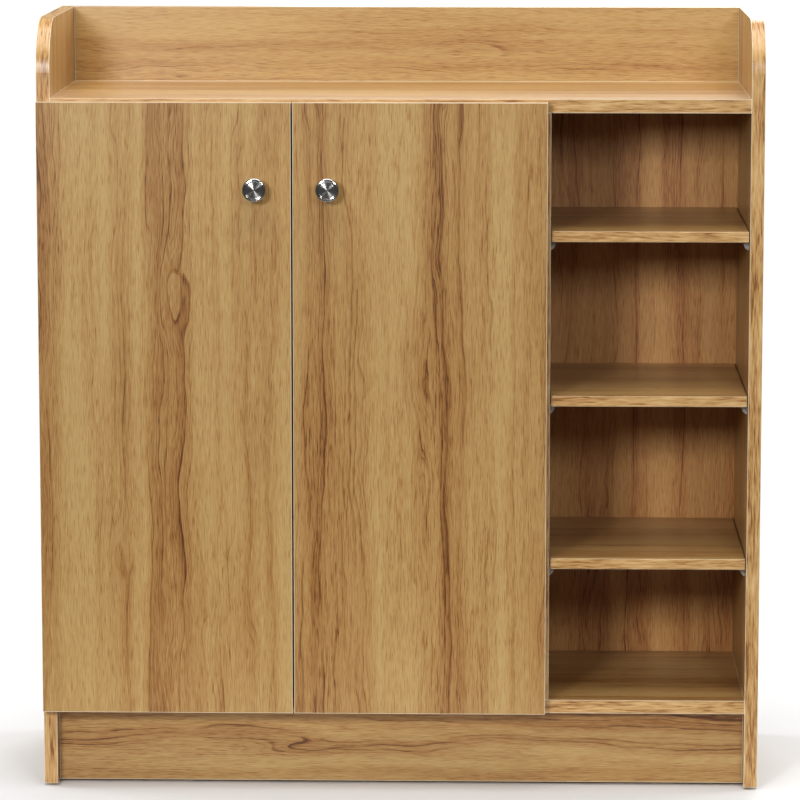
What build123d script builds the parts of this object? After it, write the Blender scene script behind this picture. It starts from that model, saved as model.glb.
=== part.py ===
"""Shoe cabinet: two hinged doors over a wide shelved compartment, a column of four open
pigeonholes beside it, and a railed tray on top. Flat-pack build in laminated boards.

Frame: origin on the floor, at the middle of the width and of the full depth from the
knobs' faces to the boards' rear edges. +Z up, the doors face -Y, +X to the viewer's right.
Millimetres.
"""

import os

from build123d import *

os.makedirs("parts", exist_ok=True)

# Driving dimensions -----------------------------------------------------------------

overall_width = 800.0
overall_height = 860.0
overall_depth = 300.0  # from the boards' rear edges to the doors' faces
board_thickness = 15.0
shelf_thickness = 12.0
door_thickness = 15.0
back_thickness = 3.0
open_column_width = 219.0  # clear width of the pigeonholes
bottom_panel_height = 87.0  # underside of the bottom panel above the floor
upstand_height = 86.0
side_corner_radius = 58.0
plinth_setback = 20.0
plinth_floor_gap = 3.5
shelf_levels = 3  # adjustable shelves in each compartment
bottom_opening_height = 148.5  # clear, below the lowest shelf
top_opening_height = 130.5  # clear, above the highest shelf; those between share the rest
open_shelf_setback = 2.0
inner_shelf_setback = 24.0  # leaves room for the hinge arms behind the doors

# Clearances between pieces
door_face_gap = 2.0  # between the doors' backs and the carcass
door_pair_gap = 2.0
door_side_reveal = 1.0  # the side panel's outer face past the left door
divider_reveal = 4.0  # divider edge left showing beside the right door
door_top_reveal = 3.0  # below the top panel's upper face
door_bottom_overlap = 13.0  # doors reach this far below the bottom panel's upper face
shelf_end_gap = 1.0
shelf_back_gap = 0.8
rail_end_gap = 0.4  # upstand and plinth to the side panels
groove_clearance = 0.2
hole_clearance = 0.05  # radial, around dowels, bolts, cams and screws
pilot_end_gap = 1.0  # hole left beyond a screw's tip
cut_overrun = 1.0  # cuts start this far outside the face that they open

# Back panel groove
groove_depth = 6.0
back_panel_inset = 0.5  # the panel stops this far short of the groove's floor

# Cam fittings, dowels
fitting_inset = 42.0  # cam fittings from a board's front and rear edges
rail_fitting_offset = 15.0  # cam below and dowel above a rail's middle
rail_dowel_spacing = 250.0
divider_dowel_spacing = 90.0
cam_radius = 7.4
cam_height = 12.0
cam_to_end = 24.0
cam_slot_depth = 9.0
cam_mouth_end_gap = 1.0
cam_recess_width = 1.6
cam_recess_depth = 1.8
bolt_head_radius = 2.9
bolt_head_length = 3.0
bolt_neck_radius = 1.9
bolt_thread_radius = 2.5
bolt_thread_length = 11.0
bolt_collar_length = 1.5
bolt_bore_radius = 3.4
dowel_radius = 4.0
dowel_in_face = 10.0
dowel_in_end = 19.0
dowel_end_gap = 0.6

# Knobs
knob_radius = 13.0
knob_projection = 24.0
knob_to_door_edge = 39.0
knob_from_door_top = 94.0
knob_foot_radius = 7.5
knob_foot_thickness = 1.5
knob_neck_radius = 5.4
knob_head_thickness = 7.0
knob_back_chamfer = 0.6
knob_rim_radius = 2.2
knob_step_height = 0.4
knob_dish_radius = 9.2
knob_dish_depth = 2.6
knob_eye_radius = 1.3
knob_hole_clearance = 0.3
knob_screw_radius = 2.0
knob_screw_depth = 9.0
knob_screw_head_radius = 4.0
knob_screw_head_height = 2.4

# Concealed hinges
hinge_from_door_end = 95.0
cup_radius = 17.4
cup_depth = 11.4
cup_wall = 0.9
cup_to_door_edge = 22.5
cup_flange_thickness = 1.0
cup_flange_width = 19.0
cup_flange_length = 56.0
cup_screw_offset = 9.5  # screw line past the cup's centre
cup_screw_spacing = 45.0
cup_screw_length = 11.0
cup_screw_head = (3.2, 1.4)  # radius and height
cup_screw_to_flange_edge = 5.0
cup_ear_radius = 6.0
pivot_to_door_edge = 6.0
pivot_to_door_back = 11.0
arm_half_width = 6.5
arm_gauge = 1.2
arm_length = 65.0  # behind the carcass's front plane
arm_pin_radius = 1.2
arm_pin_run = 24.0  # arm pin from the door's pivot line, along the door
arm_pin_rise = 3.5  # arm pin from the pivot line, towards the carcass
nose_radius = 2.6
nose_web_gap = 0.4  # the nose's web is cut back this far past the link's eye
arm_crank = (3.0, 14.0)  # the web's slope starts and ends, behind the front plane
arm_shoulder = (2.0, 17.0)  # the flanges' slope, on the panel's side
arm_shoulder_run = 3.5
arm_plate_gap = 0.6
arm_screw_radius = 2.0
arm_screw_length = 7.0
arm_screw_head = (3.6, 1.6)
arm_screw_offsets = (-11.0, 10.0)  # from the plate's screw line
link_half_width = 4.0
link_gauge = 1.8
link_eye_radius = 1.8
link_nose_gap = 0.2
link_elbow_radius = 3.0
link_elbow = (9.93, 1.8)  # along the door and towards the carcass, from the pivot line
link_cup_pin = (4.48, 4.68)
cup_pin_radius = 1.0
cup_pin_half_length = 5.0
plate_setback = 37.0  # screw line behind the carcass's front plane
plate_gauge = 2.0
plate_length = 48.0
plate_width = 22.0
plate_screw_spacing = 32.0
plate_screw_length = 12.0
plate_screw_head = (3.5, 1.8)
plate_corner_radius = 5.0
boss_height = 9.6
boss_length = 34.0
boss_side_gap = 0.1
hinge_screw_radius = 1.75

# Small parts
support_pin_radius = 2.45
support_pin_depth = 6.5
support_pin_end_gap = 0.5
support_width = 7.5
support_reach = 6.5
support_height = 10.5
support_wall = 1.5
support_rib = 3.2
support_from_front = 22.0
support_from_back = 34.0
glide_height = 3.0
glide_radius = 5.85
glide_flat_radius = 3.8
glide_from_end = 25.0
nail_radius = 0.85
nail_length = 16.0
nail_hole_depth = 15.0
nail_head_radius = 2.0
panel_nail_head_height = 0.7
glide_nail_head_z = (1.0, 1.8)
back_nail_count = 5
bumper_radius = 4.0
bumper_thickness = 1.8
bumper_from_free_edge = 12.0

# Derived planes and edges -----------------------------------------------------------

rear_y = (overall_depth + knob_projection) / 2
door_front_y = rear_y - overall_depth
door_back_y = door_front_y + door_thickness
front_y = door_back_y + door_face_gap
back_face_y = rear_y - board_thickness
groove_ys = (back_face_y, back_face_y + back_thickness + groove_clearance)

side_outer_x = overall_width / 2
side_inner_x = side_outer_x - board_thickness
side_mid_x = (side_inner_x + side_outer_x) / 2
divider_right_x = side_inner_x - open_column_width
divider_left_x = divider_right_x - board_thickness
divider_mid_x = (divider_left_x + divider_right_x) / 2

floor_top_z = bottom_panel_height + board_thickness
top_face_z = overall_height - upstand_height
top_under_z = top_face_z - board_thickness
bottom_mid_z = bottom_panel_height + board_thickness / 2
top_mid_z = top_under_z + board_thickness / 2

door_top_z = top_face_z - door_top_reveal
door_bottom_z = floor_top_z - door_bottom_overlap
door_left_x = -side_outer_x + door_side_reveal
door_right_x = divider_right_x - divider_reveal
door_width = (door_right_x - door_left_x - door_pair_gap) / 2
knob_z = door_top_z - knob_from_door_top
hinge_heights = [door_bottom_z + hinge_from_door_end, door_top_z - hinge_from_door_end]

plinth_front_y = front_y + plinth_setback
plinth_mid_y = plinth_front_y + board_thickness / 2
plinth_mid_z = (plinth_floor_gap + bottom_panel_height) / 2
upstand_mid_y = back_face_y + board_thickness / 2
upstand_mid_z = (top_face_z + overall_height) / 2

compartment_height = top_under_z - floor_top_z
shared_height = compartment_height - bottom_opening_height - top_opening_height
shelf_pitch = (shared_height - shelf_thickness) / (shelf_levels - 1)
lowest_under_z = floor_top_z + bottom_opening_height
shelf_under_z = [lowest_under_z + shelf_pitch * level for level in range(shelf_levels)]
level_names = ["lower", "middle", "upper"]

# Joints between boards --------------------------------------------------------------
# Each joint: the board that carries the fitting, the board whose face it meets, a point
# on the meeting plane at mid-thickness, and the direction into the carrying board. Cam
# joints add the direction of the face that the cam is dropped into.

fitting_ys = [front_y + fitting_inset, back_face_y - fitting_inset]
dowel_y = (front_y + back_face_y) / 2
divider_dowel_ys = [dowel_y - divider_dowel_spacing / 2, dowel_y + divider_dowel_spacing / 2]
rail_dowel_xs = [-rail_dowel_spacing, 0.0, rail_dowel_spacing]
rails = [
    ("plinth_board", plinth_mid_y, plinth_mid_z),
    ("upstand_board", upstand_mid_y, upstand_mid_z),
]
decks = [("top_panel", top_mid_z), ("bottom_panel", bottom_mid_z)]
hand_name = {-1: "left", 1: "right"}
up, down, backwards = (0, 0, 1), (0, 0, -1), (0, 1, 0)

cam_joints = []
dowel_joints = []
for hand in (-1, 1):
    end_x = hand * side_inner_x
    side = hand_name[hand] + "_side_panel"
    inward = (-hand, 0, 0)
    for deck, z in decks:
        for y in fitting_ys:
            cam_joints.append((deck, side, (end_x, y, z), inward, down))
        dowel_joints.append((deck, side, (end_x, dowel_y, z), inward))
    for rail, y, z in rails:
        cam_joints.append((rail, side, (end_x, y, z - rail_fitting_offset), inward, backwards))
        dowel_joints.append((rail, side, (end_x, y, z + rail_fitting_offset), inward))
for deck, z, into in (("top_panel", top_under_z, down), ("bottom_panel", floor_top_z, up)):
    for y in fitting_ys:
        cam_joints.append(("divider_panel", deck, (divider_mid_x, y, z), into, (-1, 0, 0)))
    for y in divider_dowel_ys:
        dowel_joints.append(("divider_panel", deck, (divider_mid_x, y, z), into))
for x in rail_dowel_xs:
    dowel_joints.append(("upstand_board", "top_panel", (x, upstand_mid_y, top_face_z), up))
    under_bottom = (x, plinth_mid_y, bottom_panel_height)
    dowel_joints.append(("plinth_board", "bottom_panel", under_bottom, down))

back_nail_pitch = compartment_height / (back_nail_count + 1)
back_nail_zs = [floor_top_z + back_nail_pitch * (step + 1) for step in range(back_nail_count)]
glide_ys = [front_y + glide_from_end, rear_y - glide_from_end]


# Helpers, used inside a sub-part's block ---------------------------------------------


def slab(x_range, y_range, z_range, mode=Mode.ADD):
    """Adds a rectangular board between three pairs of limits, or cuts a groove there."""
    with BuildSketch(Plane.XY.offset(z_range[0])) as outline:
        with Locations((sum(x_range) / 2, sum(y_range) / 2)):
            Rectangle(x_range[1] - x_range[0], y_range[1] - y_range[0])
    extrude(outline.sketch, amount=z_range[1] - z_range[0], mode=mode)


def drill(point, outward, radius, depth):
    """Drills a round hole from a point on a face, opening along the outward direction."""
    with Locations(Plane(origin=point, z_dir=outward)):
        Hole(radius, depth)


def rod(point, outward, radius, length):
    """Adds a round bar that runs from a point against the outward direction."""
    with Locations(Plane(origin=point, z_dir=outward)):
        Cylinder(radius, length, align=(Align.CENTER, Align.CENTER, Align.MAX))


def along(point, direction, distance):
    """The point moved by a distance along a direction."""
    return tuple(p + d * distance for p, d in zip(point, direction))


def against(direction):
    """The opposite direction."""
    return tuple(-d for d in direction)


def screw(seat, outward, radius, length, head):
    """A pan-head screw with a crossed recess, its head's underside seated at a point."""
    head_radius, head_height = head
    with Locations(Plane(origin=seat, z_dir=outward)):
        Cylinder(radius, length, align=(Align.CENTER, Align.CENTER, Align.MAX))
        Cylinder(head_radius, head_height, align=(Align.CENTER, Align.CENTER, Align.MIN))
    recess_depth = head_height * 0.6
    crown = along(seat, outward, head_height - recess_depth)
    with Locations(Plane(origin=crown, z_dir=outward)):
        for turn in (0, 90):
            Box(
                head_radius * 1.2,
                head_radius * 0.24,
                recess_depth,
                rotation=(0, 0, turn),
                align=(Align.CENTER, Align.CENTER, Align.MIN),
                mode=Mode.SUBTRACT,
            )


def drill_for_fittings(board):
    """Drills every cam, bolt and dowel hole that a named board needs."""
    for carrier, receiver, point, into, cam_face in cam_joints:
        if board == carrier:
            cam_seat = along(along(point, into, cam_to_end), cam_face, board_thickness / 2)
            drill(cam_seat, cam_face, cam_radius + hole_clearance, cam_height + hole_clearance)
            drill(point, against(into), bolt_bore_radius, cam_to_end)
        if board == receiver:
            thread_depth = bolt_thread_length + hole_clearance
            drill(point, into, bolt_thread_radius + hole_clearance, thread_depth)
    for carrier, receiver, point, into in dowel_joints:
        if board == carrier:
            drill(point, against(into), dowel_radius + hole_clearance, dowel_in_end + dowel_end_gap)
        if board == receiver:
            drill(point, into, dowel_radius + hole_clearance, dowel_in_face + dowel_end_gap)


def drill_for_supports(face_x, outward_x, setback):
    """Drills a panel's face for the shelf supports that serve one compartment."""
    depth = support_pin_depth + support_pin_end_gap
    for z in shelf_under_z:
        for y in support_ys(setback):
            point = (face_x, y, z - support_height / 2)
            drill(point, (outward_x, 0, 0), support_pin_radius + hole_clearance, depth)


def support_ys(setback):
    """Front and rear support positions under a shelf with this setback."""
    return [front_y + setback + support_from_front, back_face_y - support_from_back]


def publish(builder, name):
    """Labels a finished sub-part and writes its STEP file."""
    builder.part.label = name
    export_step(builder.part, f"parts/{name}.step")


# Hinge frames -----------------------------------------------------------------------
# Each door turns about a vertical line inside its own thickness. Hinge shapes are drawn
# in a plane on that line: x runs along the closed door from its hinged edge, y towards
# the carcass. hand is -1 for the left door and +1 for the right door.


def pivot_x(hand):
    edge = {-1: door_left_x, 1: door_right_x}[hand]
    return edge - hand * pivot_to_door_edge


def panel_run(hand):
    """Distance along the closed door from the pivot line to the carrying panel's face."""
    panel_face = {-1: -side_inner_x, 1: divider_left_x}[hand]
    return (pivot_x(hand) - panel_face) * hand


pivot_y = door_back_y - pivot_to_door_back
front_rise = pivot_to_door_back + door_face_gap
plate_rise = front_rise + plate_setback
cup_run = cup_to_door_edge - pivot_to_door_edge
arm_screw_rises = [plate_rise + offset for offset in arm_screw_offsets]
plate_screw_offsets = (-plate_screw_spacing / 2, plate_screw_spacing / 2)


def hinge_plane(hand, z):
    return Plane(origin=(pivot_x(hand), pivot_y, z), x_dir=(-hand, 0, 0), z_dir=(0, 0, -hand))


def hinge_point(hand, run, rise, z):
    """A point given along the door and towards the carcass from the pivot line."""
    return (pivot_x(hand) - hand * run, pivot_y + rise, z)


def drill_for_plates(hand):
    """Pilot holes for the mounting plates' screws in the panel that carries a door."""
    depth = plate_screw_length - plate_gauge + pilot_end_gap
    for z in hinge_heights:
        for offset in plate_screw_offsets:
            point = hinge_point(hand, panel_run(hand), plate_rise, z + offset)
            drill(point, (-hand, 0, 0), hinge_screw_radius + hole_clearance, depth)


# Carcass boards ---------------------------------------------------------------------


def side_panel(hand):
    name = hand_name[hand] + "_side_panel"
    low_x = min(hand * side_inner_x, hand * side_outer_x)
    inner_x = hand * side_inner_x
    with BuildPart() as panel:
        with BuildSketch(Plane.YZ.offset(low_x)) as outline:
            with Locations(((front_y + rear_y) / 2, (glide_height + overall_height) / 2)):
                Rectangle(rear_y - front_y, overall_height - glide_height)
            top_front = outline.vertices().group_by(Axis.Y)[-1].sort_by(Axis.X)[0]
            fillet(top_front, side_corner_radius)
        extrude(amount=board_thickness)
        slab(
            sorted((inner_x + hand * groove_depth, inner_x - hand * cut_overrun)),
            groove_ys,
            (floor_top_z - groove_depth, top_under_z + groove_depth),
            mode=Mode.SUBTRACT,
        )
        drill_for_fittings(name)
        for y in glide_ys:
            nail_seat = (hand * side_mid_x, y, glide_height)
            drill(nail_seat, down, nail_radius + hole_clearance, nail_hole_depth)
        if hand < 0:
            drill_for_supports(inner_x, 1, inner_shelf_setback)
            drill_for_plates(-1)
        else:
            drill_for_supports(inner_x, -1, open_shelf_setback)
    publish(panel, name)


for hand in (-1, 1):
    side_panel(hand)

board_xs = (-side_inner_x, side_inner_x)

with BuildPart() as top_panel:
    slab(board_xs, (front_y, rear_y), (top_under_z, top_face_z))
    groove_zs = (top_under_z - cut_overrun, top_under_z + groove_depth)
    slab(board_xs, groove_ys, groove_zs, mode=Mode.SUBTRACT)
    drill_for_fittings("top_panel")
publish(top_panel, "top_panel")

with BuildPart() as bottom_panel:
    slab(board_xs, (front_y, rear_y), (bottom_panel_height, floor_top_z))
    groove_zs = (floor_top_z - groove_depth, floor_top_z + cut_overrun)
    slab(board_xs, groove_ys, groove_zs, mode=Mode.SUBTRACT)
    drill_for_fittings("bottom_panel")
publish(bottom_panel, "bottom_panel")

with BuildPart() as divider_panel:
    slab((divider_left_x, divider_right_x), (front_y, back_face_y), (floor_top_z, top_under_z))
    drill_for_fittings("divider_panel")
    drill_for_supports(divider_left_x, -1, inner_shelf_setback)
    drill_for_supports(divider_right_x, 1, open_shelf_setback)
    drill_for_plates(1)
    for z in back_nail_zs:
        nail_hole = (divider_mid_x, back_face_y, z)
        drill(nail_hole, backwards, nail_radius + hole_clearance, nail_hole_depth)
publish(divider_panel, "divider_panel")

rail_xs = (-side_inner_x + rail_end_gap, side_inner_x - rail_end_gap)

with BuildPart() as upstand_board:
    slab(rail_xs, (back_face_y, rear_y), (top_face_z, overall_height))
    drill_for_fittings("upstand_board")
publish(upstand_board, "upstand_board")

with BuildPart() as plinth_board:
    plinth_ys = (plinth_front_y, plinth_front_y + board_thickness)
    slab(rail_xs, plinth_ys, (plinth_floor_gap, bottom_panel_height))
    drill_for_fittings("plinth_board")
publish(plinth_board, "plinth_board")

back_panel_reach = groove_depth - back_panel_inset

with BuildPart() as back_panel:
    slab(
        (-side_inner_x - back_panel_reach, side_inner_x + back_panel_reach),
        (back_face_y, back_face_y + back_thickness),
        (floor_top_z - groove_depth, top_under_z + back_panel_reach),
    )
    for z in back_nail_zs:
        nail_hole = (divider_mid_x, back_face_y + back_thickness, z)
        drill(nail_hole, backwards, nail_radius + hole_clearance, back_thickness)
publish(back_panel, "back_panel")


# Shelves and their supports ---------------------------------------------------------

compartments = {
    "open": (divider_right_x, side_inner_x, open_shelf_setback),
    "inner": (-side_inner_x, divider_left_x, inner_shelf_setback),
}


def shelf(kind, level):
    low_x, high_x, setback = compartments[kind]
    under = shelf_under_z[level]
    with BuildPart() as board:
        slab(
            (low_x + shelf_end_gap, high_x - shelf_end_gap),
            (front_y + setback, back_face_y - shelf_back_gap),
            (under, under + shelf_thickness),
        )
    publish(board, f"{kind}_shelf_{level_names[level]}")


def shelf_support(face_x, into_x, y, under):
    """A moulded support: a seat and a plate joined by a curved rib, on a round pin."""
    frame = Plane(origin=(face_x, y, under), x_dir=(into_x, 0, 0), z_dir=(0, -into_x, 0))
    with BuildSketch(frame) as elbow:
        with BuildLine():
            Polyline(
                (support_wall, -support_wall),
                (support_reach, -support_wall),
                (support_reach, 0),
                (0, 0),
                (0, -support_height),
                (support_wall, -support_height),
                (support_wall, -support_wall),
            )
        make_face()
    extrude(elbow.sketch, amount=support_width / 2, both=True)
    with BuildSketch(frame) as rib:
        with BuildLine():
            Polyline(
                (support_wall, -support_height),
                (support_wall, -support_wall),
                (support_reach, -support_wall),
            )
            tip, foot = (support_reach, -support_wall), (support_wall, -support_height)
            RadiusArc(tip, foot, support_height * 1.1)
        make_face()
    extrude(rib.sketch, amount=support_rib / 2, both=True)
    rod((face_x, y, under - support_height / 2), (into_x, 0, 0), support_pin_radius, support_pin_depth)


for kind in compartments:
    low_x, high_x, setback = compartments[kind]
    for level in range(shelf_levels):
        shelf(kind, level)
    with BuildPart() as supports:
        for under in shelf_under_z:
            for y in support_ys(setback):
                shelf_support(low_x, 1, y, under)
                shelf_support(high_x, -1, y, under)
    publish(supports, f"{kind}_shelf_supports")


# Fasteners hidden in the boards -----------------------------------------------------


def cam_lock(point, into, face):
    """A round cam with a side mouth for the bolt's head and a crossed driver recess."""
    centre = along(point, into, cam_to_end)
    mouth = along(centre, against(into), cam_radius - cam_slot_depth / 2)
    top = along(centre, face, board_thickness / 2)
    with Locations(Plane(origin=top, x_dir=into, z_dir=face)):
        Cylinder(cam_radius, cam_height, align=(Align.CENTER, Align.CENTER, Align.MAX))
        for turn in (0, 90):
            Box(
                cam_radius * 1.1,
                cam_recess_width,
                cam_recess_depth,
                rotation=(0, 0, turn),
                align=(Align.CENTER, Align.CENTER, Align.MAX),
                mode=Mode.SUBTRACT,
            )
    with Locations(Plane(origin=mouth, x_dir=into, z_dir=face)):
        Box(cam_slot_depth, bolt_bore_radius * 2, bolt_bore_radius * 2, mode=Mode.SUBTRACT)


def cam_bolt(point, into):
    """A bolt screwed into one board's face, its head caught in the other board's cam."""
    head_reach = cam_to_end - cam_radius + cam_slot_depth - cam_mouth_end_gap
    rod(point, into, bolt_thread_radius, bolt_thread_length)
    rod(along(point, into, bolt_collar_length), into, bolt_head_radius, bolt_collar_length)
    rod(along(point, into, head_reach), into, bolt_neck_radius, head_reach)
    rod(along(point, into, head_reach), into, bolt_head_radius, bolt_head_length)


with BuildPart() as cam_locks:
    for carrier, receiver, point, into, cam_face in cam_joints:
        cam_lock(point, into, cam_face)
publish(cam_locks, "cam_locks")

with BuildPart() as cam_bolts:
    for carrier, receiver, point, into, cam_face in cam_joints:
        cam_bolt(point, into)
publish(cam_bolts, "cam_bolts")

with BuildPart() as wood_dowels:
    for carrier, receiver, point, into in dowel_joints:
        rod(along(point, into, dowel_in_end), into, dowel_radius, dowel_in_end + dowel_in_face)
publish(wood_dowels, "wood_dowels")

with BuildPart() as back_panel_nails:
    for z in back_nail_zs:
        seat = (divider_mid_x, back_face_y + back_thickness, z)
        crown = along(seat, backwards, panel_nail_head_height)
        rod(seat, backwards, nail_radius, nail_length)
        rod(crown, backwards, nail_head_radius, panel_nail_head_height)
publish(back_panel_nails, "back_panel_nails")


# Floor glides -----------------------------------------------------------------------

glide_places = [(x, y) for x in (-side_mid_x, side_mid_x) for y in glide_ys]
nail_head_low, nail_head_high = glide_nail_head_z

with BuildPart() as floor_glides:
    with BuildSketch(Plane.XZ) as section:
        with BuildLine():
            Line((0, 0), (glide_flat_radius, 0))
            flat_edge, top_edge = (glide_flat_radius, 0), (glide_radius, glide_height)
            RadiusArc(flat_edge, top_edge, -glide_height * 1.2)
            Polyline((glide_radius, glide_height), (0, glide_height), (0, 0))
        make_face()
    disc = revolve(section.sketch, axis=Axis.Z, mode=Mode.PRIVATE)
    with Locations(*[(x, y, 0) for x, y in glide_places]):
        add(disc)
        with Locations((0, 0, glide_height)):
            Hole(nail_radius + hole_clearance, glide_height - nail_head_low)
        with Locations((0, 0, nail_head_low)):
            Cylinder(
                nail_head_radius + hole_clearance,
                nail_head_high - nail_head_low + hole_clearance,
                align=(Align.CENTER, Align.CENTER, Align.MIN),
                mode=Mode.SUBTRACT,
            )
publish(floor_glides, "floor_glides")

with BuildPart() as glide_nails:
    for x, y in glide_places:
        seat = (x, y, nail_head_low)
        rod(seat, down, nail_head_radius, nail_head_high - nail_head_low)
        rod(seat, down, nail_radius, nail_length)
publish(glide_nails, "glide_nails")


# Doors, knobs and bumpers -----------------------------------------------------------


def door_xs(hand):
    if hand < 0:
        return (door_left_x, door_left_x + door_width)
    return (door_right_x - door_width, door_right_x)


def free_edge_x(hand):
    return door_xs(hand)[1] if hand < 0 else door_xs(hand)[0]


def knob_x(hand):
    return free_edge_x(hand) + hand * knob_to_door_edge


def cup_screw_points(hand, z):
    """Seats of a cup's two screws on the door's back face."""
    run = cup_run + cup_screw_offset
    half = cup_screw_spacing / 2
    return [hinge_point(hand, run, pivot_to_door_back, z + side) for side in (-half, half)]


def bumper_places(hand):
    """Bumper centres on the door's back, over the top and bottom panels' front edges."""
    x = free_edge_x(hand) + hand * bumper_from_free_edge
    low = (door_bottom_z + floor_top_z) / 2
    high = (door_top_z + top_under_z) / 2
    return [(x, door_back_y, low), (x, door_back_y, high)]


def door(hand):
    screw_hole_depth = cup_screw_length - cup_flange_thickness + pilot_end_gap
    with BuildPart() as leaf:
        slab(door_xs(hand), (door_front_y, door_back_y), (door_bottom_z, door_top_z))
        for z in hinge_heights:
            cup_centre = hinge_point(hand, cup_run, pivot_to_door_back, z)
            drill(cup_centre, backwards, cup_radius + hole_clearance, cup_depth + hole_clearance)
            for point in cup_screw_points(hand, z):
                drill(point, backwards, hinge_screw_radius + hole_clearance, screw_hole_depth)
        knob_hole = (knob_x(hand), door_back_y, knob_z)
        drill(knob_hole, backwards, knob_screw_radius + knob_hole_clearance, door_thickness)
    publish(leaf, hand_name[hand] + "_door")


def knob(hand):
    """A turned knob: a foot, a waisted neck and a broad head with a stepped, dished face."""
    origin = (knob_x(hand), door_front_y, knob_z)
    foot = (knob_foot_radius, knob_foot_thickness)
    head_back = knob_projection - knob_head_thickness
    under_head = (knob_radius - knob_back_chamfer, head_back)
    neck_low = (knob_neck_radius, knob_foot_thickness + knob_head_thickness / 2)
    neck_high = (knob_neck_radius, head_back - knob_head_thickness)
    flare = (knob_radius - knob_head_thickness / 2, head_back - knob_foot_thickness)
    rim_low = (knob_radius, knob_projection - knob_step_height - knob_rim_radius)
    rim_high = (knob_radius - knob_rim_radius, knob_projection - knob_step_height)
    step = (rim_high[0] - knob_step_height, knob_projection)
    with BuildPart() as turned:
        with BuildSketch(Plane(origin=origin, x_dir=(1, 0, 0), z_dir=(0, 0, -1))) as section:
            with BuildLine():
                Polyline((0, 0), (knob_foot_radius, 0), foot)
                Spline(foot, neck_low, neck_high, flare, under_head, tangents=((-1, 0.6), (1, 0.15)))
                Polyline(under_head, (knob_radius, head_back + knob_back_chamfer), rim_low)
                RadiusArc(rim_low, rim_high, -knob_rim_radius)
                Polyline(
                    rim_high,
                    step,
                    (step[0] - knob_foot_thickness, knob_projection),
                    (knob_dish_radius - knob_step_height, knob_projection - knob_dish_depth / 2),
                    (knob_eye_radius, knob_projection - knob_dish_depth + knob_step_height),
                    (0, knob_projection - knob_dish_depth),
                    (0, 0),
                )
            make_face()
        revolve(axis=Axis(origin, (0, -1, 0)))
        drill(origin, backwards, knob_screw_radius + hole_clearance, knob_screw_depth + pilot_end_gap)
    publish(turned, hand_name[hand] + "_knob")


def knob_screw(hand):
    with BuildPart() as fastener:
        screw(
            (knob_x(hand), door_back_y, knob_z),
            backwards,
            knob_screw_radius,
            door_thickness + knob_screw_depth,
            (knob_screw_head_radius, knob_screw_head_height),
        )
    publish(fastener, hand_name[hand] + "_knob_screw")


def bumpers(hand):
    with BuildPart() as domes:
        for point in bumper_places(hand):
            rod(along(point, backwards, bumper_thickness), backwards, bumper_radius, bumper_thickness)
        rims = domes.edges().filter_by(GeomType.CIRCLE).group_by(Axis.Y)[-1]
        fillet(rims, bumper_thickness * 0.7)
    publish(domes, hand_name[hand] + "_door_bumpers")


# Hinge hardware ---------------------------------------------------------------------


def hinge_cups(hand):
    """Pressed cups with screw ears, sunk into the door's back."""
    mouth = pivot_to_door_back
    ears_run = cup_run + cup_screw_offset + cup_screw_to_flange_edge - cup_flange_width / 2
    over_flange = cup_flange_thickness + cut_overrun
    with BuildPart() as cups:
        for z in hinge_heights:
            ears = hinge_point(hand, ears_run, mouth, z)
            with Locations(Plane(origin=ears, x_dir=(1, 0, 0), z_dir=backwards)):
                Box(
                    cup_flange_width,
                    cup_flange_length,
                    cup_flange_thickness,
                    align=(Align.CENTER, Align.CENTER, Align.MIN),
                )
        ear_corners = cups.edges().filter_by(Axis.Y)
        fillet(ear_corners, cup_ear_radius)
        for z in hinge_heights:
            centre = hinge_point(hand, cup_run, mouth, z)
            rod(centre, backwards, cup_radius, cup_depth)
            over_cup = along(centre, backwards, over_flange)
            drill(over_cup, backwards, cup_radius - cup_wall, over_flange + cup_depth - cup_wall)
            for point in cup_screw_points(hand, z):
                over_ear = along(point, backwards, over_flange)
                drill(over_ear, backwards, hinge_screw_radius + hole_clearance, over_flange + cut_overrun)
    publish(cups, hand_name[hand] + "_hinge_cups")


def hinge_cup_screws(hand):
    with BuildPart() as fasteners:
        for z in hinge_heights:
            for point in cup_screw_points(hand, z):
                seat = along(point, backwards, cup_flange_thickness)
                screw(seat, backwards, hinge_screw_radius, cup_screw_length, cup_screw_head)
    publish(fasteners, hand_name[hand] + "_hinge_cup_screws")


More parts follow.
